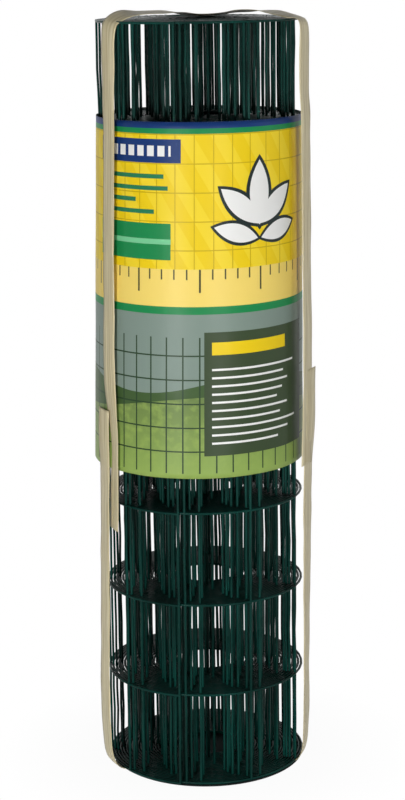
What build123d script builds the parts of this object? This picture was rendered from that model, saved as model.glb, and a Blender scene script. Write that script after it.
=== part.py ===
from build123d import *
import math
import os

# A roll of green coated, welded wire fencing that stands on its end, with a printed
# sleeve round its middle and two lengths of wide tape that hold it shut.
# Sizes are in millimetres. +Z is up and -Y is towards the viewer. The origin is on
# the floor, on the roll's axis.

# Welded mesh: line wires run along the fence, and its stays run across it
wire_diameter = 1.9
line_wire_spacing = 76.2
line_wire_count = 9

# Coil: the outer turn's outside, the hole down the middle, and one turn's thickness
roll_radius = 80.7
bore_radius = 25.0
turn_pitch = 2.43
stay_recess = 1.0
turn_groove_depth = 1.2
inner_turn_rise = 3.0

# Printed sleeve: a loose paper wrap, wider at its foot and pushed to the left
sleeve_thickness = 0.3
sleeve_height = 277.0
sleeve_foot_height = 261.0
sleeve_top_slack = 0.5
sleeve_foot_slack = 4.7
sleeve_top_shift = 0.5
sleeve_foot_shift = 4.0
sleeve_lap_angle = 24.0

# Tape: both lengths cross the roll's ends in front of its axis, and their legs face
# straight out from it. Azimuths are counted from +X towards +Y.
tape_width = 19.0
tape_thickness = 0.3
seat_clearance = 0.1

# Tape over the top end: it is bent over the rim at each side and humps up between
top_left_azimuth = 215.0
top_left_reach = 3.5
top_left_foot_reach = 9.7
top_left_foot = 210.0
top_right_azimuth = -22.0
top_right_reach = 11.3
top_right_foot_reach = 7.3
top_right_foot = 248.0
top_bend_drop = 9.0
top_hump_rise = 7.5
top_hump_part = 0.15
top_dip_rise = 4.0

# Tape under the bottom end: its ends stand further out than those of the top tape
bottom_left_azimuth = 207.0
bottom_left_reach = 14.1
bottom_left_end_reach = 9.5
bottom_left_end = 305.0
bottom_right_azimuth = -17.5
bottom_right_reach = 7.5
bottom_right_end_reach = 9.7
bottom_right_end = 332.0
bottom_bend_rise = 18.0

# The roll stands on the tape that passes under it
mesh_width = line_wire_spacing * (line_wire_count - 1) + wire_diameter
roll_foot = tape_thickness + seat_clearance
roll_top = roll_foot + mesh_width
turn_count = max(1, round((roll_radius - bore_radius) / turn_pitch))
turn_step = (roll_radius - bore_radius) / turn_count


def coil_end(end_height, groove):
    """Points across one end of the coil, from its outer turn to its bore.

    Each turn's line wire is a ridge, and inner turns stand higher than outer ones.
    """
    rise_per_turn = inner_turn_rise / turn_count
    points = []
    for turn in range(turn_count):
        crest_radius = roll_radius - (turn + 0.5) * turn_step
        valley_radius = roll_radius - (turn + 1) * turn_step
        height = end_height + turn * rise_per_turn
        points.append((crest_radius, height))
        points.append((valley_radius, height + groove))
    return points


def coil_side():
    """Points up the outside of the coil: a three-sided bead at each line wire."""
    half_wire = wire_diameter / 2
    wall_radius = roll_radius - stay_recess
    points = []
    for row in range(line_wire_count):
        wire_height = roll_foot + half_wire + row * line_wire_spacing
        points.append((wall_radius, wire_height - half_wire))
        points.append((roll_radius, wire_height))
        points.append((wall_radius, wire_height + half_wire))
    return points


def make_mesh_roll():
    """The wound mesh: one turned solid with its bore."""
    top_points = coil_end(roll_top, -turn_groove_depth)
    foot_points = coil_end(roll_foot, turn_groove_depth)
    outline = Polyline(*coil_side(), *top_points, *reversed(foot_points), close=True)
    return revolve(Plane.XZ * make_face(outline), Axis.Z)


def make_label_sleeve():
    """The printed sleeve: a thin cone, with its end lapped over its start at the back."""
    foot_radius = roll_radius + sleeve_foot_slack
    top_radius = roll_radius + sleeve_top_slack + seat_clearance

    def shell(inset, thickness, sweep_angle):
        lower = foot_radius + inset
        upper = top_radius + inset
        section = Polyline(
            (lower, 0),
            (lower + thickness, 0),
            (upper + thickness, sleeve_height),
            (upper, sleeve_height),
            close=True,
        )
        return revolve(Plane.XZ * make_face(section), Axis.Z, sweep_angle)

    wrap = shell(0, sleeve_thickness, 360)
    lap = shell(sleeve_thickness, sleeve_thickness, sleeve_lap_angle)
    sleeve = wrap + Rot(Z=90 - sleeve_lap_angle / 2) * lap
    lean = math.degrees(math.atan2(sleeve_foot_shift - sleeve_top_shift, sleeve_height))
    return Pos(-sleeve_foot_shift, 0, sleeve_foot_height) * Rot(Y=lean) * sleeve


def at_azimuth(azimuth, reach, height):
    """A point that stands out from the roll's side by its reach, at an azimuth."""
    turned = math.radians(azimuth)
    radius = roll_radius + reach
    return Vector(radius * math.cos(turned), radius * math.sin(turned), height)


def half_across(side_azimuth):
    """Half the tape's width, level and across the tape, as a vector."""
    return Vector(0, tape_width / 2, 0).rotate(Axis.Z, side_azimuth - 180)


def tape_station(centre, side_azimuth, fold):
    """A cross-section of the tape.

    side_azimuth is where the left leg's outside would face at this station, and fold
    turns that outside up, to 90 over the roll's end and to 180 on the right leg.
    """
    side = Vector(1, 0, 0).rotate(Axis.Z, side_azimuth)
    folded = math.radians(fold)
    outward = side * math.cos(folded) + Vector(0, 0, math.sin(folded))
    half_width = half_across(side_azimuth)
    half_film = outward * (tape_thickness / 2)
    corners = (
        centre - half_width - half_film,
        centre + half_width - half_film,
        centre + half_width + half_film,
        centre - half_width + half_film,
    )
    return make_face(Polyline(*corners, close=True))


def make_top_strap():
    """Tape over the top end, with a leg down each side of the roll."""
    rim_height = roll_top + seat_clearance + tape_thickness / 2
    left_rim = at_azimuth(top_left_azimuth, 0, rim_height)
    right_rim = at_azimuth(top_right_azimuth, 0, rim_height)
    left_side = top_left_azimuth
    right_side = top_right_azimuth + 180

    def crown(part, rise):
        centre = left_rim + (right_rim - left_rim) * part + Vector(0, 0, rise)
        return tape_station(centre, left_side + (right_side - left_side) * part, 90)

    sections = [
        tape_station(
            at_azimuth(top_left_azimuth, top_left_foot_reach, top_left_foot), left_side, 0
        ),
        tape_station(
            at_azimuth(top_left_azimuth, top_left_reach, rim_height - top_bend_drop), left_side, 0
        ),
        crown(0, 0),
        crown(top_hump_part, top_hump_rise),
        crown(0.5, top_dip_rise),
        crown(1 - top_hump_part, top_hump_rise),
        crown(1, 0),
        tape_station(
            at_azimuth(top_right_azimuth, top_right_reach, rim_height - top_bend_drop), right_side, 180
        ),
        tape_station(
            at_azimuth(top_right_azimuth, top_right_foot_reach, top_right_foot), right_side, 180
        ),
    ]
    return loft(sections, ruled=True)


def make_bottom_leg(azimuth, bend_reach, end_reach, end_height):
    """One leg of the bottom tape: its side view, drawn out to the tape's width."""
    half_film = tape_thickness / 2
    bend = roll_radius + bend_reach
    end = roll_radius + end_reach
    side_view = Polyline(
        (roll_radius, 0),
        (bend + half_film, bottom_bend_rise),
        (end + half_film, end_height),
        (end - half_film, end_height),
        (bend - half_film, bottom_bend_rise),
        (roll_radius, tape_thickness),
        close=True,
    )
    leg = extrude(Plane.XZ * make_face(side_view), tape_width / 2, both=True)
    return Rot(Z=azimuth) * leg


def make_bottom_strap():
    """Tape under the bottom end, with a leg up each side of the roll."""
    left_leg = make_bottom_leg(
        bottom_left_azimuth, bottom_left_reach, bottom_left_end_reach, bottom_left_end
    )
    right_leg = make_bottom_leg(
        bottom_right_azimuth, bottom_right_reach, bottom_right_end_reach, bottom_right_end
    )
    left_end = at_azimuth(bottom_left_azimuth, 0, 0)
    left_half = half_across(bottom_left_azimuth)
    right_end = at_azimuth(bottom_right_azimuth, 0, 0)
    right_half = half_across(bottom_right_azimuth + 180)
    corners = (
        left_end - left_half,
        right_end - right_half,
        right_end + right_half,
        left_end + left_half,
    )
    band = extrude(make_face(Polyline(*corners, close=True)), tape_thickness, dir=(0, 0, 1))
    return left_leg + band + right_leg


parts = {
    "mesh_roll": make_mesh_roll(),
    "label_sleeve": make_label_sleeve(),
    "top_strap": make_top_strap(),
    "bottom_strap": make_bottom_strap(),
}

os.makedirs("parts", exist_ok=True)
for name, shape in parts.items():
    export_step(shape, f"parts/{name}.step")
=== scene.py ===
import math

import bpy
from mathutils import Matrix, Vector, noise


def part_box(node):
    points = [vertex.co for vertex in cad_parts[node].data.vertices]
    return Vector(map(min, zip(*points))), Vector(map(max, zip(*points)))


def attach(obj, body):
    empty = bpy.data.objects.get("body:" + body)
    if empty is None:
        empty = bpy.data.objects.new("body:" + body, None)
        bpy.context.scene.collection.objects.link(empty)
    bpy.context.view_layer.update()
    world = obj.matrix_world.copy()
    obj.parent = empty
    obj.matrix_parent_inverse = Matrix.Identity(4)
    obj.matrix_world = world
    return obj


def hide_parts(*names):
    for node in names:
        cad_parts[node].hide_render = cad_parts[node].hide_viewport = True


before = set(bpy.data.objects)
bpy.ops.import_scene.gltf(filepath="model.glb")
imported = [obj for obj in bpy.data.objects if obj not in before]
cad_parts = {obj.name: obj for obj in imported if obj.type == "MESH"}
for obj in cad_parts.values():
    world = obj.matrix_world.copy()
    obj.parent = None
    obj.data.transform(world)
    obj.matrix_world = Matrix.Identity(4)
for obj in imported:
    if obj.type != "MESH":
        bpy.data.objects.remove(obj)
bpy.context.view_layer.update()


# Line wires
# Nine steel wires in a green plastic coat run the whole length of the fence. They are
# wound with it into one coil of some twenty turns, whose inner turns stand a little
# proud of the outer ones at the top.

class Link:
    """One socket of a node tree, so that maths on it reads as a plain sum."""

    def __init__(self, graph, socket):
        self.graph = graph
        self.socket = socket

    def maths(self, operation, *terms):
        sockets = dict(enumerate(terms))
        return self.graph.node("ShaderNodeMath", {"operation": operation}, sockets)[0]

    def __add__(self, other):
        return self.maths("ADD", self, other)

    def __sub__(self, other):
        return self.maths("SUBTRACT", self, other)

    def __mul__(self, other):
        return self.maths("MULTIPLY", self, other)

    def __truediv__(self, other):
        return self.maths("DIVIDE", self, other)

    def __rsub__(self, other):
        return self.maths("SUBTRACT", other, self)

    def __gt__(self, other):
        return self.maths("GREATER_THAN", self, other)

    def __lt__(self, other):
        return self.maths("LESS_THAN", self, other)

    __radd__ = __add__
    __rmul__ = __mul__

    def wave(self):
        return self.maths("SINE", self)

    def size(self):
        return self.maths("ABSOLUTE", self)

    def part(self):
        return self.maths("FRACT", self)

    def whole(self):
        return self.maths("FLOOR", self)

    def above(self, least):
        return self.maths("MAXIMUM", self, least)

    def below(self, most):
        return self.maths("MINIMUM", self, most)

    def power(self, exponent):
        return self.maths("POWER", self, exponent)


class Node:
    """A node in a tree. Indexing it gives one of its outputs as a Link."""

    def __init__(self, graph, node):
        self.graph = graph
        self.node = node

    def __getitem__(self, key):
        return Link(self.graph, self.node.outputs[key])


class Graph:
    """A node tree that is built one node at a time."""

    def __init__(self, tree):
        self.tree = tree
        self.sizes = {}
        self.entry = None

    def node(self, kind, settings=None, sockets=None):
        made = self.tree.nodes.new(kind)
        settings = dict(settings or {})
        stops = settings.pop("stops", None)
        for name, value in settings.items():
            setattr(made, name, value)
        if stops:
            ramp = made.color_ramp
            while len(ramp.elements) < len(stops):
                ramp.elements.new(1.0)
            for element, (place, colour) in zip(ramp.elements, stops):
                element.position = place
                element.color = colour
        for key, value in (sockets or {}).items():
            if isinstance(value, Link):
                self.tree.links.new(value.socket, made.inputs[key])
            else:
                made.inputs[key].default_value = value
        return Node(self, made)

    def named_size(self, name, value):
        """A named input of a Geometry Nodes tree, and the value that it is given."""
        kind = "NodeSocketInt" if isinstance(value, int) else "NodeSocketFloat"
        face = self.tree.interface.new_socket(name=name, in_out="INPUT", socket_type=kind)
        self.sizes[face.identifier] = value
        if self.entry is None:
            self.entry = self.tree.nodes.new("NodeGroupInput")
        return Link(self, self.entry.outputs[name])


def grow(name, graph, shape, material):
    """Runs a Geometry Nodes tree once, and returns its result as a plain mesh object."""
    graph.tree.interface.new_socket(
        name="Geometry", in_out="OUTPUT", socket_type="NodeSocketGeometry"
    )
    solid = graph.node("GeometryNodeRealizeInstances", {}, {"Geometry": shape})["Geometry"]
    painted = graph.node(
        "GeometryNodeSetMaterial", {}, {"Geometry": solid, "Material": material}
    )["Geometry"]
    graph.node("NodeGroupOutput", {}, {"Geometry": painted})
    piece = bpy.data.objects.new(name, bpy.data.meshes.new(name))
    bpy.context.scene.collection.objects.link(piece)
    modifier = piece.modifiers.new("Grow", "NODES")
    modifier.node_group = graph.tree
    for identifier, value in graph.sizes.items():
        modifier[identifier] = value
    depsgraph = bpy.context.evaluated_depsgraph_get()
    mesh = bpy.data.meshes.new_from_object(piece.evaluated_get(depsgraph))
    piece.modifiers.clear()
    piece.data = mesh
    return piece


wire_diameter = 0.00215
line_wire_spacing = 0.0762
line_wire_count = 9
fence_length = 7.62
inner_radius = 0.02472
outer_radius = 0.08023
winding_phase = 3.5766
sides_per_wire = 6
stay_spacing = 0.050687
first_stay = 0.014590
steps_per_opening = 5

# No coil is wound evenly. Its turns run ahead and lag in two waves, each with a swing,
# a length along the fence and a start. It is also a little oval, twisted from foot to
# top and wider at its foot, and its sleeve holds it in.
winding_twist = 0.0205
coil_oval = 0.0081
slow_wave = (0.1997, 1.0565, 0.0009)
quick_wave = (0.0587, 0.6957, 3.2267)
coil_taper = 0.0075
coil_middle = 0.3
end_unevenness = 0.0035
spring_depth = 0.0030
spring_height = 0.24
sleeve_hold = 0.0792
sleeve_hold_middle = 0.4
sleeve_hold_reach = 0.16
sleeve_hold_fade = 0.02

coil_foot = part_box("mesh_roll")[0].z + wire_diameter / 2
wire_set_out = 0.0003
wire_step = stay_spacing / steps_per_opening
wire_start = first_stay % wire_step
wire_points = int((fence_length - wire_start) / wire_step) + 1


def coating(name):
    """Green plastic on wire: nearly black, satin, with faint drifts of colour."""
    material = bpy.data.materials.new(name)
    material.use_nodes = True
    graph = Graph(material.node_tree)
    place = graph.node("ShaderNodeTexCoord")["Object"]
    drift = graph.node(
        "ShaderNodeTexNoise", {}, {"Vector": place, "Scale": 22.0, "Detail": 3.0}
    )["Fac"]
    speck = graph.node(
        "ShaderNodeTexNoise", {}, {"Vector": place, "Scale": 900.0, "Detail": 2.0}
    )["Fac"]
    colour = graph.node(
        "ShaderNodeValToRGB",
        {"stops": [(0.30, (0.0016, 0.0200, 0.0160, 1)), (0.70, (0.0040, 0.0520, 0.0410, 1))]},
        {"Fac": drift},
    )["Color"]
    bump = graph.node(
        "ShaderNodeBump", {}, {"Strength": 0.25, "Distance": 0.0002, "Height": speck}
    )["Normal"]
    shader = material.node_tree.nodes["Principled BSDF"]
    material.node_tree.links.new(colour.socket, shader.inputs["Base Color"])
    material.node_tree.links.new((0.20 + drift * 0.16).socket, shader.inputs["Roughness"])
    material.node_tree.links.new(bump.socket, shader.inputs["Normal"])
    shader.inputs["Specular IOR Level"].default_value = 0.06
    return material


green_coating = coating("green coated wire")


def wind(graph, shape):
    """Winds a flat fence, which lies along X with its outside towards +Y, into a coil."""
    place = graph.node("GeometryNodeInputPosition")["Position"]
    parts = graph.node("ShaderNodeSeparateXYZ", {}, {"Vector": place})
    along, outward, height = parts["X"], parts["Y"], parts["Z"]
    inner = graph.named_size("Inner radius", inner_radius)
    outer = graph.named_size("Outer radius", outer_radius)
    gain = (outer * outer - inner * inner) / (2 * fence_length)
    radius = (inner * inner + along * gain * 2).power(0.5)
    angle = (radius - inner) / gain + graph.named_size("Winding phase", winding_phase)
    for swing, length, start in (slow_wave, quick_wave):
        angle = angle + (along * (2 * math.pi / length) + start).wave() * swing
    angle = angle + (height - coil_middle) * (winding_twist / coil_middle)
    x = (radius + outward) * (angle + math.pi / 2).wave()
    y = (radius + outward) * angle.wave()
    spot = graph.node(
        "ShaderNodeCombineXYZ",
        {},
        {
            "X": x * (1 + coil_oval),
            "Y": y * (1 - coil_oval),
            "Z": height,
        },
    )["Vector"]
    return graph.node(
        "GeometryNodeSetPosition", {}, {"Geometry": shape, "Position": spot}
    )["Geometry"]


def settle(graph, shape, stay_flex):
    """Moves a wound shape off its perfect spiral, alike for wires that are welded."""
    place = graph.node("GeometryNodeInputPosition")["Position"]
    parts = graph.node("ShaderNodeSeparateXYZ", {}, {"Vector": place})
    x, y, z = parts["X"], parts["Y"], parts["Z"]
    radius = (x * x + y * y).power(0.5)
    inward = (outer_radius - radius).above(0) / (outer_radius - inner_radius)
    level = graph.node("ShaderNodeCombineXYZ", {}, {"X": x, "Y": y})["Vector"]
    tilt = graph.node(
        "ShaderNodeTexNoise", {}, {"Vector": level, "Scale": 16.0, "Detail": 1.0}
    )["Fac"]
    rise = graph.named_size("Inner turn rise", 0.0022)
    lift = inward.power(0.7) * rise + (tilt - 0.5) * inward * end_unevenness
    spring = graph.named_size("Sprung outer turn", 0.0001)
    below = ((spring_height - z) / spring_height).above(0)
    loose = (radius - outer_radius + spring_depth).above(0) * (spring / spring_depth) * below
    sway = graph.node(
        "ShaderNodeTexNoise", {}, {"Vector": place, "Scale": 14.0, "Detail": 2.0}
    )["Color"]
    wobble = graph.named_size("Wobble", 0.0006)
    parts = graph.node("ShaderNodeSeparateXYZ", {}, {"Vector": sway})
    between = ((z - coil_foot) * (math.pi / line_wire_spacing)).wave().size() * stay_flex
    bend = graph.node(
        "ShaderNodeTexNoise", {}, {"Vector": place, "Scale": 55.0, "Detail": 1.0}
    )["Color"]
    bends = graph.node("ShaderNodeSeparateXYZ", {}, {"Vector": bend})
    taper = graph.named_size("Taper", coil_taper)
    swell = loose / radius + (coil_middle - z) * (taper / coil_middle)
    held = (sleeve_hold_reach - (z - sleeve_hold_middle).size()) / sleeve_hold_fade
    squeeze = (radius * (1 + swell) - sleeve_hold).above(0) * held.above(0).below(1)
    swell = swell - squeeze / radius
    shift = graph.node(
        "ShaderNodeCombineXYZ",
        {},
        {
            "X": (parts["X"] - 0.5) * wobble + (bends["X"] - 0.5) * between + x * swell,
            "Y": (parts["Y"] - 0.5) * wobble + (bends["Y"] - 0.5) * between + y * swell,
            "Z": lift,
        },
    )["Vector"]
    return graph.node(
        "GeometryNodeSetPosition", {}, {"Geometry": shape, "Offset": shift}
    )["Geometry"]


def wire_skin(graph, path, diameter):
    """Gives a path the round section of a coated wire."""
    ring = graph.node(
        "GeometryNodeCurvePrimitiveCircle",
        {"mode": "RADIUS"},
        {"Resolution": sides_per_wire, "Radius": diameter / 2},
    )["Curve"]
    mesh = graph.node(
        "GeometryNodeCurveToMesh", {}, {"Curve": path, "Profile Curve": ring, "Fill Caps": True}
    )["Mesh"]
    return graph.node("GeometryNodeSetShadeSmooth", {}, {"Geometry": mesh})["Geometry"]


wires = Graph(bpy.data.node_groups.new("Line wires", "GeometryNodeTree"))
flat_wire = wires.node(
    "GeometryNodeMeshLine",
    {"mode": "OFFSET"},
    {
        "Count": wires.named_size("Points per line wire", wire_points),
        "Start Location": (wire_start, wire_set_out, coil_foot),
        "Offset": (wire_step, 0.0, 0.0),
    },
)["Mesh"]
flat_wire = wires.node("GeometryNodeMeshToCurve", {}, {"Mesh": flat_wire})["Curve"]
rows = wires.node(
    "GeometryNodeMeshLine",
    {"mode": "OFFSET"},
    {
        "Count": wires.named_size("Line wires", line_wire_count),
        "Offset": (0.0, 0.0, line_wire_spacing),
    },
)["Mesh"]
stacked = wires.node(
    "GeometryNodeInstanceOnPoints", {}, {"Points": rows, "Instance": flat_wire}
)["Instances"]
loose = wires.node("GeometryNodeRealizeInstances", {}, {"Geometry": stacked})["Geometry"]
loose = settle(wires, wind(wires, loose), 0.0)
line_wires = grow(
    "line_wires",
    wires,
    wire_skin(wires, loose, wires.named_size("Wire diameter", wire_diameter)),
    green_coating,
)
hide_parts("mesh_roll")
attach(line_wires, "root")


# Stays
# The cross wires of the mesh stand upright in the coil, one every two inches of its
# length. Each is welded to all nine line wires before the plastic coat goes on, and
# the coat gathers in a small blob at each weld.

stay_overhang = 0.0011
stay_points = 33
weld_radius = 0.00125
stay_count = int((fence_length - first_stay) / stay_spacing) + 1

stays = Graph(bpy.data.node_groups.new("Stays", "GeometryNodeTree"))
stations = stays.node(
    "GeometryNodeMeshLine",
    {"mode": "OFFSET"},
    {
        "Count": stays.named_size("Stays", stay_count),
        "Start Location": (first_stay, 0.0, coil_foot),
        "Offset": (stay_spacing, 0.0, 0.0),
    },
)["Mesh"]
mesh_width = line_wire_spacing * (line_wire_count - 1)
upright = stays.node(
    "GeometryNodeCurvePrimitiveLine",
    {"mode": "POINTS"},
    {"Start": (0, 0, -stay_overhang), "End": (0, 0, mesh_width + stay_overhang)},
)["Curve"]
upright = stays.node(
    "GeometryNodeResampleCurve", {"mode": "COUNT"}, {"Curve": upright, "Count": stay_points}
)["Curve"]
standing = stays.node(
    "GeometryNodeInstanceOnPoints", {}, {"Points": stations, "Instance": upright}
)["Instances"]
standing = stays.node("GeometryNodeRealizeInstances", {}, {"Geometry": standing})["Geometry"]
stay_flex = stays.named_size("Stay flex", 0.0020)
standing = settle(stays, wind(stays, standing), stay_flex)
rods = wire_skin(stays, standing, stays.named_size("Wire diameter", wire_diameter))

blob = stays.node(
    "GeometryNodeMeshIcoSphere",
    {},
    {"Radius": stays.named_size("Weld radius", weld_radius), "Subdivisions": 1},
)["Mesh"]
blob_rows = stays.node(
    "GeometryNodeMeshLine",
    {"mode": "OFFSET"},
    {"Count": line_wire_count, "Offset": (0.0, 0.0, line_wire_spacing)},
)["Mesh"]
blob_column = stays.node(
    "GeometryNodeInstanceOnPoints", {}, {"Points": blob_rows, "Instance": blob}
)["Instances"]
welds = stays.node(
    "GeometryNodeInstanceOnPoints", {}, {"Points": stations, "Instance": blob_column}
)["Instances"]
welds = stays.node("GeometryNodeRealizeInstances", {}, {"Geometry": welds})["Geometry"]
welds = stays.node(
    "GeometryNodeSetShadeSmooth", {}, {"Geometry": settle(stays, wind(stays, welds), 0.0)}
)["Geometry"]
joined = stays.node("GeometryNodeJoinGeometry")
for part in (rods, welds):
    stays.tree.links.new(part.socket, joined.node.inputs["Geometry"])
stay_wires = grow("stays", stays, joined["Geometry"], green_coating)
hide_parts("mesh_roll")
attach(stay_wires, "root")


# Printed sleeve
# One sheet of coated paper is wrapped once round the middle of the coil and lapped at
# the back. It is looser at its foot, is printed on the outside and white on the inside.

sleeve_foot = 0.261
sleeve_height = 0.277
sleeve_foot_radius = 0.0854
sleeve_top_radius = 0.0814
sleeve_foot_shift = -0.0040
sleeve_top_shift = -0.0005
paper_thickness = 0.00025
lap_angle = math.radians(24)
lap_step = 0.0003
slow_ripple = 0.00035
quick_ripple = 0.00012
sleeve_columns = 256
sleeve_rows = 70


def sleeve_point(across, up):
    """A point of the sheet, from its start to its lapped end and from foot to top."""
    angle = across * (2 * math.pi + lap_angle) - lap_angle / 2
    radius = sleeve_foot_radius + (sleeve_top_radius - sleeve_foot_radius) * up
    radius += lap_step * across
    shift = sleeve_foot_shift + (sleeve_top_shift - sleeve_foot_shift) * up
    place = Vector((math.cos(angle), math.sin(angle), up * 1.3))
    ripple = noise.noise(place * 3.1) * slow_ripple + noise.noise(place * 7.3) * quick_ripple
    radius += ripple * (1.3 - up)
    return Vector((
        shift - radius * math.sin(angle),
        radius * math.cos(angle),
        sleeve_foot + sleeve_height * up,
    ))


def sleeve_mesh():
    """The sheet as a grid, with its width and height in tenths of a metre as its map."""
    mesh = bpy.data.meshes.new("label_sleeve_print")
    width = sleeve_columns + 1
    points = []
    for row in range(sleeve_rows + 1):
        for column in range(width):
            points.append(sleeve_point(column / sleeve_columns, row / sleeve_rows))
    faces = []
    for row in range(sleeve_rows):
        for column in range(sleeve_columns):
            corner = row * width + column
            faces.append((corner, corner + 1, corner + width + 1, corner + width))
    mesh.from_pydata(points, [], faces)
    layer = mesh.uv_layers.new(name="sheet")
    mean_radius = (sleeve_foot_radius + sleeve_top_radius) / 2
    for loop in mesh.loops:
        row, column = divmod(loop.vertex_index, width)
        across = column / sleeve_columns * (2 * math.pi + lap_angle) - lap_angle / 2 - math.pi
        up = row / sleeve_rows
        layer.data[loop.index].uv = (across * mean_radius * 10, up * sleeve_height * 10)
    for polygon in mesh.polygons:
        polygon.use_smooth = True
    return mesh


def printed_paper():
    """A printed design: yellow ground, blue and green bands, hills and ruled bars.

    Places on the sheet are in millimetres, from the middle of its front and its foot.
    """
    material = bpy.data.materials.new("printed paper")
    material.use_nodes = True
    graph = Graph(material.node_tree)
    sheet = graph.node("ShaderNodeSeparateXYZ", {}, {
        "Vector": graph.node("ShaderNodeUVMap", {"uv_map": "sheet"})["UV"]
    })
    x = sheet["X"] * 100
    y = sheet["Y"] * 100

    def between(value, low, high):
        return (value > low) * (value < high)

    def panel(left, right, low, high):
        return between(x, left, right) * between(y, low, high)

    def paint(under, colour, mask):
        return graph.node(
            "ShaderNodeMix",
            {"data_type": "RGBA"},
            {0: mask, 6: under, 7: colour},
        )[2]

    yellow = (0.89, 0.64, 0.010, 1)
    bright_yellow = (0.93, 0.70, 0.03, 1)
    ochre = (0.62, 0.42, 0.006, 1)
    pale = (0.95, 0.72, 0.17, 1)
    white = (0.90, 0.90, 0.88, 1)
    blue = (0.006, 0.035, 0.16, 1)
    green = (0.010, 0.24, 0.07, 1)
    light_green = (0.20, 0.62, 0.32, 1)
    deep_green = (0.02, 0.20, 0.09, 1)
    slate = (0.040, 0.065, 0.028, 1)
    sky = (0.22, 0.29, 0.25, 1)
    grass = (0.29, 0.42, 0.10, 1)
    far_grass = (0.13, 0.20, 0.06, 1)
    grass_tips = (0.30, 0.42, 0.10, 1)
    hedge = (0.05, 0.10, 0.03, 1)
    ink = (0.05, 0.05, 0.02, 1)
    green_ink = (0.02, 0.05, 0.02, 1)
    black = (0.01, 0.02, 0.02, 1)

    stripe = ((x + y * 0.6) / 26.0).part() > 0.5
    colour = paint(yellow, bright_yellow, stripe)
    grid = (((x + 4) / 15.0).part() < 0.055).above(((y - 3) / 22.0).part() < 0.038)
    colour = paint(colour, ochre, grid)
    colour = paint(colour, pale, between(y, 136, 165))
    colour = paint(colour, green, between(y, 268, 272) + between(y, 130, 136))
    colour = paint(colour, blue, y > 272)
    ticks = ((x / 10.0).part() < 0.12) * between(y, 157, 165)
    long_ticks = ((x / 50.0).part() < 0.03) * between(y, 147, 165)
    colour = paint(colour, ink, ticks.above(long_ticks))
    colour = paint(colour, blue, panel(-96, -14, 246, 264))
    dashes = ((x / 9.0).part() > 0.35) * panel(-88, -22, 251, 259)
    colour = paint(colour, white, dashes)
    colour = paint(colour, green, panel(-96, -22, 172, 200))
    colour = paint(colour, light_green, panel(-96, -22, 184, 188))
    lines = ((y - 204) / 9.0).part()
    row = ((y - 204) / 9.0).whole()
    reach = graph.node("ShaderNodeTexWhiteNoise", {"noise_dimensions": "1D"}, {"W": row})["Value"]
    bars = between(lines, 0.35, 0.72) * between(x, -86, -58 + reach * 38) * between(y, 206, 238)
    colour = paint(colour, deep_green, bars)

    edge, sprig = None, None
    for centre_x, centre_y, long_way, short_way, turn in (
        (50, 222, 25, 9, 90), (34, 212, 22, 8, 140), (66, 212, 22, 8, 40),
        (30, 192, 19, 7, 165), (70, 192, 19, 7, 15),
    ):
        cos, sin = math.cos(math.radians(turn)), math.sin(math.radians(turn))
        along = ((x - centre_x) * cos + (y - centre_y) * sin) / long_way
        aside = ((y - centre_y) * cos - (x - centre_x) * sin) / short_way
        spread = along * along + aside.size()
        outline, leaf = spread < 1.35, spread < 1.0
        edge = outline if edge is None else edge.above(outline)
        sprig = leaf if sprig is None else sprig.above(leaf)
    colour = paint(colour, black, edge)
    colour = paint(colour, white, sprig)

    lower = y < 130
    colour = paint(colour, sky, lower)
    far_hill = y < ((x / 31.0).wave() * 7 + 74)
    colour = paint(colour, hedge, lower * far_hill)
    near_hill = y < ((x / 47.0 + 1.3).wave() * 9 + 56)
    mown = graph.node(
        "ShaderNodeTexNoise",
        {},
        {"Vector": graph.node("ShaderNodeTexCoord")["Object"], "Scale": 160.0, "Detail": 5.0},
    )["Fac"]
    lawn = paint(grass, far_grass, (y / 70.0).below(1.0))
    colour = paint(colour, lawn, lower * near_hill)
    tips = ((mown - 0.45) * 3.0).above(0).below(0.8)
    colour = paint(colour, grass_tips, lower * near_hill * tips)
    mesh_print = ((x / 13.0).part() < 0.09).above(((y - 2) / 19.0).part() < 0.06)
    colour = paint(colour, green_ink, mesh_print * between(y, 4, 112))
    colour = paint(colour, slate, panel(4, 104, 18, 116))
    rule = ((y - 18) / 6.5).part()
    rule_row = ((y - 18) / 6.5).whole()
    rule_reach = graph.node(
        "ShaderNodeTexWhiteNoise", {"noise_dimensions": "1D"}, {"W": rule_row + 40}
    )["Value"]
    rules = between(rule, 0.40, 0.66) * between(x, 10, 62 + rule_reach * 34) * between(y, 24, 92)
    colour = paint(colour, white, rules)
    colour = paint(colour, yellow, panel(10, 78, 98, 108))
    shader = material.node_tree.nodes["Principled BSDF"]
    grain = graph.node(
        "ShaderNodeTexNoise",
        {},
        {"Vector": graph.node("ShaderNodeTexCoord")["Object"], "Scale": 260.0, "Detail": 4.0},
    )["Fac"]
    bump = graph.node(
        "ShaderNodeBump", {}, {"Strength": 0.08, "Distance": 0.0003, "Height": grain}
    )["Normal"]
    material.node_tree.links.new(colour.socket, shader.inputs["Base Color"])
    material.node_tree.links.new((0.36 + grain * 0.12).socket, shader.inputs["Roughness"])
    material.node_tree.links.new(bump.socket, shader.inputs["Normal"])
    shader.inputs["Specular IOR Level"].default_value = 0.15
    return material


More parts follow.
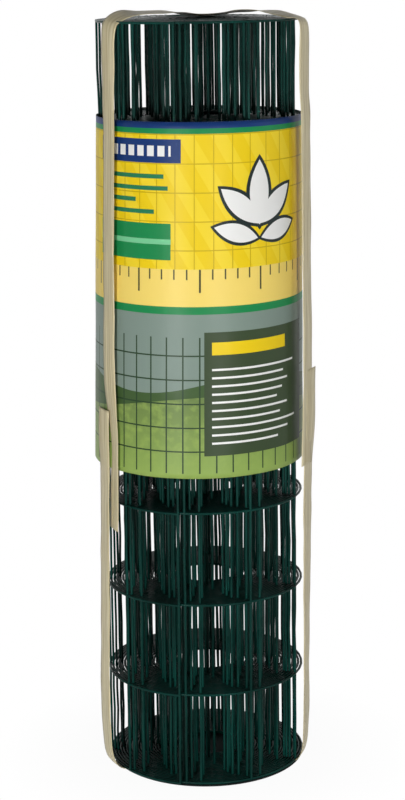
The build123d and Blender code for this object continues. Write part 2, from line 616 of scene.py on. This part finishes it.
def plain_paper():
    """The unprinted inside of the sheet."""
    material = bpy.data.materials.new("plain paper")
    material.use_nodes = True
    graph = Graph(material.node_tree)
    fibre = graph.node(
        "ShaderNodeTexNoise",
        {},
        {"Vector": graph.node("ShaderNodeTexCoord")["Object"], "Scale": 180.0, "Detail": 5.0},
    )["Fac"]
    colour = graph.node(
        "ShaderNodeValToRGB",
        {"stops": [(0.3, (0.80, 0.80, 0.77, 1)), (0.7, (0.90, 0.90, 0.88, 1))]},
        {"Fac": fibre},
    )["Color"]
    shader = material.node_tree.nodes["Principled BSDF"]
    material.node_tree.links.new(colour.socket, shader.inputs["Base Color"])
    material.node_tree.links.new((0.7 + fibre * 0.1).socket, shader.inputs["Roughness"])
    return material


sleeve = bpy.data.objects.new("label_sleeve_print", sleeve_mesh())
bpy.context.scene.collection.objects.link(sleeve)
sleeve.data.materials.append(printed_paper())
sleeve.data.materials.append(plain_paper())
wall = sleeve.modifiers.new("Wall", "SOLIDIFY")
wall.thickness = paper_thickness
wall.offset = -1.0
wall.material_offset = 1
wall.material_offset_rim = 1
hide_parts("label_sleeve")
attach(sleeve, "root")


# Tape
# Two lengths of wide beige film tape hold the coil shut, one over its top end and one
# under its bottom end. Their loose ends pass each other at the foot of the sleeve.

tape_width = 0.019
tape_thickness = 0.00022
tape_columns = 6
tape_step = 0.0025
tape_cup = 0.0003
tape_crease = 0.0005
crease_fade = 0.01
left_azimuth = 215.0
right_azimuth = -22.0
right_side = right_azimuth + 180
roll_radius = 0.0807
rim_height = 0.6121


def tape_film():
    """Beige film, a little see-through, with faint streaks along its length."""
    material = bpy.data.materials.new("beige tape")
    material.use_nodes = True
    graph = Graph(material.node_tree)
    strip = graph.node("ShaderNodeUVMap", {"uv_map": "strip"})["UV"]
    stretched = graph.node(
        "ShaderNodeMapping", {}, {"Vector": strip, "Scale": (60.0, 1.2, 1.0)}
    )["Vector"]
    streak = graph.node(
        "ShaderNodeTexNoise", {}, {"Vector": stretched, "Scale": 1.0, "Detail": 3.0}
    )["Fac"]
    colour = graph.node(
        "ShaderNodeValToRGB",
        {"stops": [(0.35, (0.64, 0.53, 0.29, 1)), (0.65, (0.90, 0.82, 0.55, 1))]},
        {"Fac": streak},
    )["Color"]
    shader = material.node_tree.nodes["Principled BSDF"]
    material.node_tree.links.new(colour.socket, shader.inputs["Base Color"])
    material.node_tree.links.new((0.28 + streak * 0.25).socket, shader.inputs["Roughness"])
    material.node_tree.links.new((0.74 + streak * 0.16).socket, shader.inputs["Alpha"])
    shader.inputs["Specular IOR Level"].default_value = 0.25
    return material


beige_tape = tape_film()


def through(stations, spots, travel):
    """A smooth run through stations, at a distance along the way that joins them."""
    last = len(stations) - 1
    index = 0
    while index < last - 1 and travel > spots[index + 1]:
        index += 1
    stretch = spots[index + 1] - spots[index]
    step = (travel - spots[index]) / stretch

    def lean(at):
        low, high = max(at - 1, 0), min(at + 1, last)
        gap = spots[high] - spots[low]
        return [(b - a) / gap * stretch for a, b in zip(stations[low], stations[high])]

    start, end = stations[index], stations[index + 1]
    return [
        a * (1 + 2 * step) * (1 - step) ** 2 + b * step**2 * (3 - 2 * step)
        + p * step * (1 - step) ** 2 - q * step**2 * (1 - step)
        for a, b, p, q in zip(start, end, lean(index), lean(index + 1))
    ]


def beside(azimuth, radius, height):
    """A place at the roll's side, from sizes in degrees and millimetres."""
    turned = math.radians(azimuth)
    return (radius * math.cos(turned) / 1000, radius * math.sin(turned) / 1000, height / 1000)


def tape_piece(name, node, seed, stations):
    """A strip of tape through stations of (place, side azimuth, turn, width).

    The side azimuth is where its outside would face on its way up the left side, the
    turn is a twist about its own length, and the width is a share of the tape's.
    """
    flat = [(*place, side, turn, width) for place, side, turn, width in stations]
    spots = [0.0]
    for a, b in zip(flat, flat[1:]):
        spots.append(spots[-1] + math.dist(a[:3], b[:3]))
    count = int(spots[-1] / tape_step)
    places = []
    for step in range(count + 1):
        x, y, z, side, turn, width = through(flat, spots, spots[-1] * step / count)
        places.append((Vector((x, y, z)), math.radians(side), math.radians(turn), width))
    points, faces, map_points = [], [], []
    travelled = 0.0
    for step, (centre, side, turn, width) in enumerate(places):
        ahead = places[min(step + 1, count)][0]
        behind = places[max(step - 1, 0)][0]
        if step:
            travelled += (centre - places[step - 1][0]).length
        run = (ahead - behind).normalized()
        level = Vector((-math.sin(side), math.cos(side), 0))
        wide = (level - run * level.dot(run)).normalized()
        wide = Matrix.Rotation(turn, 3, run) @ wide
        outward = wide.cross(run)
        for column in range(tape_columns + 1):
            part = column / tape_columns * 2 - 1
            spot = centre + wide * (part * width * tape_width / 2)
            crease = noise.noise(Vector((part * 1.5, travelled * 45, seed))) * tape_crease
            crease *= min(1, max(0, centre.z / crease_fade))
            points.append(spot + outward * (crease - tape_cup * part**2))
            map_points.append((part * 0.1, travelled * 10))
    wide_count = tape_columns + 1
    for step in range(count):
        for column in range(tape_columns):
            corner = step * wide_count + column
            faces.append((corner, corner + 1, corner + wide_count + 1, corner + wide_count))
    mesh = bpy.data.meshes.new(name)
    mesh.from_pydata(points, [], faces)
    layer = mesh.uv_layers.new(name="strip")
    for loop in mesh.loops:
        layer.data[loop.index].uv = map_points[loop.vertex_index]
    for polygon in mesh.polygons:
        polygon.use_smooth = True
    mesh.materials.append(beige_tape)
    piece = bpy.data.objects.new(name, mesh)
    bpy.context.scene.collection.objects.link(piece)
    film = piece.modifiers.new("Film", "SOLIDIFY")
    film.thickness = tape_thickness
    film.offset = 0.0
    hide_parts(node)
    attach(piece, "root")


left_rim = Vector(beside(left_azimuth, roll_radius * 1000, rim_height * 1000))
right_rim = Vector(beside(right_azimuth, roll_radius * 1000, rim_height * 1000))


def over_end(part, rise, turn):
    """A station of the tape over the top, at a part of its way from rim to rim."""
    place = left_rim.lerp(right_rim, part) + Vector((0, 0, rise / 1000))
    side = left_azimuth + (right_side - left_azimuth) * part
    return (place, side, turn, 1)


tape_piece("tape_over_top", "top_strap", 13, [
    (beside(215.3, 90.0, 211), 202, 0, 0.95),
    (beside(215.8, 89.2, 235), 203, 0, 0.95),
    (beside(217.2, 89.8, 264), 205, 0, 0.78),
    (beside(217.9, 89.8, 285), 205, 0, 0.70),
    (beside(215.6, 89.6, 312), 207, 0, 0.90),
    (beside(214.5, 89.9, 334), 210, 0, 1),
    (beside(214.5, 88.9, 393), 208, 0, 1),
    (beside(214.6, 87.6, 457), 208, 0, 1),
    (beside(214.9, 86.0, 520), 208, 0, 1),
    (beside(214.9, 84.9, 583), 212, 0, 1),
    (beside(215.1, 84.2, 603), 215, 0, 1),
    (beside(215.0, 82.2, 610.5), 215, 4, 1),
    over_end(0.02, 2.2, 10),
    over_end(0.07, 5.0, 14),
    over_end(0.15, 6.1, 7.5),
    over_end(0.22, 6.5, 6.5),
    over_end(0.30, 6.4, 6),
    over_end(0.38, 5.3, -5),
    over_end(0.48, 4.2, -4),
    over_end(0.60, 4.8, -6),
    over_end(0.68, 6.2, -8),
    over_end(0.77, 6.3, -7),
    over_end(0.84, 5.6, 3),
    over_end(0.91, 4.2, 8),
    over_end(0.97, 2.2, 6),
    (beside(-22.5, 82.5, 613.0), right_side, 2, 1),
    (beside(-22.6, 86.0, 611.6), right_side, 0, 1),
    (beside(-22.6, 88.0, 607.5), 156, 0, 1),
    (beside(-22.6, 88.5, 598), 155, 0, 1),
    (beside(-22.6, 88.5, 557), 155, 0, 1),
    (beside(-22.4, 89.3, 540), 155, 0, 1),
    (beside(-22.3, 89.5, 511), 155, 0, 1),
    (beside(-22.2, 90.0, 456), 156, 0, 1),
    (beside(-22.1, 90.3, 401), 157, 0, 1),
    (beside(-22.0, 90.7, 360), 156, 0, 1),
    (beside(-22.1, 90.4, 311), 157, 0, 1),
    (beside(-22.2, 89.8, 287), 156, 0, 1),
    (beside(-22.2, 89.8, 258), 153, 0, 1.05),
])
tape_piece("tape_under_foot", "bottom_strap", 15, [
    (beside(-17.5, 91.4, 336), 155, 0, 1),
    (beside(-17.6, 91.2, 310), 155, 0, 1),
    (beside(-17.7, 90.7, 285), 155, 0, 1),
    (beside(-18.1, 88.9, 251), 157, 0, 1),
    (beside(-18.1, 88.5, 192), 158, 0, 1),
    (beside(-18.2, 88.0, 123), 162, 0, 0.95),
    (beside(-18.3, 87.8, 53), 163, 0, 0.95),
    (beside(-18.4, 87.2, 24), 163, 0, 1),
    (beside(-18.4, 85.8, 11), 163, 0, 1),
    (beside(-18.4, 83.2, 4), 163, 0, 1),
    (beside(-18.4, 79.0, 0.8), 163, 0, 1),
    (beside(-18.5, 72.0, 0.4), 164, 0, 1),
    ((0.035, -0.0277, 0.0004), 174, 0, 1),
    ((0.0, -0.0300, 0.0004), 184, 0, 1),
    ((-0.033, -0.0330, 0.0004), 195, 0, 1),
    (beside(208.5, 75.0, 0.4), 206, 0, 1),
    (beside(207.0, 83.0, 1.2), 206, 0, 1),
    (beside(206.8, 88.0, 4.5), 206, 0, 1),
    (beside(206.6, 91.4, 12), 205, 0, 1),
    (beside(206.5, 93.0, 25), 204, 0, 1),
    (beside(206.3, 93.8, 66), 205, 0, 1),
    (beside(206.7, 92.3, 147), 204, 0, 1),
    (beside(207.0, 91.3, 199), 203, 0, 1),
    (beside(207.4, 90.3, 249), 204, 0, 1),
    (beside(207.3, 90.4, 282), 207, 0, 1),
    (beside(207.5, 90.0, 308), 207, 0, 1),
])


# Studio
# A plain pale floor, painted near black under the roll as shade, a low lamp on each side of
# the camera, so that the inner turns stay dark, and a weak one at each side. What the
# camera sees past the roll is white.

roll_reach = 0.081
floor_size = 8.0
ambient = 0.03


def pale_floor_with_painted_shade():
    """White where it is seen, but for a light shadow, and painted near black under the roll as
    painted shade.
    """
    material = bpy.data.materials.new("pale floor")
    material.use_nodes = True
    graph = Graph(material.node_tree)
    nodes = material.node_tree.nodes
    nodes["Principled BSDF"].inputs["Roughness"].default_value = 0.9
    ray = graph.node("ShaderNodeLightPath")
    seen = ray["Is Camera Ray"].above(ray["Is Glossy Ray"]).above(ray["Is Transmission Ray"])
    place = graph.node("ShaderNodeTexCoord")["Object"]
    parts = graph.node("ShaderNodeSeparateXYZ", {}, {"Vector": place})
    distance = (parts["X"] * parts["X"] + parts["Y"] * parts["Y"]).power(0.5)
    near = (0.96 + (distance - 0.08) * 0.4).below(1.0)
    # Inside the roll's reach the floor's colour is painted near black: painted shade where the
    # coil's turns keep the light off.
    outside = distance > roll_reach
    floor_colour_with_painted_shade = graph.node(
        "ShaderNodeMix",
        {"data_type": "RGBA"},
        {0: outside, 6: (0.02, 0.03, 0.03, 1), 7: (0.9, 0.9, 0.9, 1)},
    )[2]
    material.node_tree.links.new(floor_colour_with_painted_shade.socket, nodes["Principled BSDF"].inputs["Base Color"])
    share = outside * near * seen
    glow = graph.node("ShaderNodeEmission", {}, {"Color": (1, 1, 1, 1), "Strength": 1.0})
    mixed = graph.node("ShaderNodeMixShader", {}, {
        0: share, 1: Link(graph, nodes["Principled BSDF"].outputs[0]), 2: glow[0],
    })
    material.node_tree.links.new(mixed[0].socket, nodes["Material Output"].inputs["Surface"])
    return material


bpy.ops.mesh.primitive_plane_add(size=floor_size, location=(0, 0, 0))
floor = bpy.context.object
floor.name = "floor"
floor.data.materials.append(pale_floor_with_painted_shade())

world = bpy.data.worlds.new("white surround")
bpy.context.scene.world = world
world.use_nodes = True
surround = Graph(world.node_tree)
ray = surround.node("ShaderNodeLightPath")
seen = ray["Is Camera Ray"].above(ray["Is Glossy Ray"]).above(ray["Is Transmission Ray"])
world.node_tree.links.new(
    (ambient + seen * (1 - ambient)).socket, world.node_tree.nodes["Background"].inputs["Strength"]
)
world.node_tree.nodes["Background"].inputs["Color"].default_value = (1, 1, 1, 1)


def soft_lamp(name, place, aim, size, power):
    """A rectangular lamp that is turned towards what it lights."""
    lamp = bpy.data.lights.new(name, "AREA")
    lamp.shape = "RECTANGLE"
    lamp.size, lamp.size_y = size
    lamp.energy = power
    holder = bpy.data.objects.new(name, lamp)
    bpy.context.scene.collection.objects.link(holder)
    holder.location = place
    holder.rotation_euler = (Vector(aim) - Vector(place)).to_track_quat("-Z", "Y").to_euler()


soft_lamp("left front lamp", (-0.81, -1.83, 0.12), (0, 0, 0.32), (0.28, 0.28), 22.5)
soft_lamp("right front lamp", (0.70, -1.87, 0.10), (0, 0, 0.32), (0.28, 0.28), 14.5)
soft_lamp("left lamp", (-1.8, 0.2, 0.7), (0, 0, 0.3), (0.3, 1.0), 1)
soft_lamp("right lamp", (1.7, -0.4, 0.7), (0, 0, 0.35), (0.3, 1.0), 4)


# Camera
# It stands about a metre and a half away, a little higher than the roll's top, and
# looks down on it.

camera_distance = 1.5497
camera_height = 0.66345
camera_pitch = math.radians(13.04)
camera_roll = math.radians(-0.75)
camera_yaw = math.radians(0.02)
photo_height = 800
focal_pixels = 1940.2

camera_data = bpy.data.cameras.new("camera")
camera_data.sensor_fit = "VERTICAL"
camera_data.sensor_height = 36.0
camera_data.lens = focal_pixels / photo_height * camera_data.sensor_height
camera_data.clip_end = 50
camera = bpy.data.objects.new("camera", camera_data)
bpy.context.scene.collection.objects.link(camera)
turned = (
    Matrix.Rotation(camera_yaw, 4, "Z")
    @ Matrix.Rotation(math.pi / 2 - camera_pitch, 4, "X")
    @ Matrix.Rotation(camera_roll, 4, "Z")
)
camera.matrix_world = Matrix.Translation((0, -camera_distance, camera_height)) @ turned
bpy.context.scene.camera = camera
bpy.context.scene.view_settings.view_transform = "Standard"
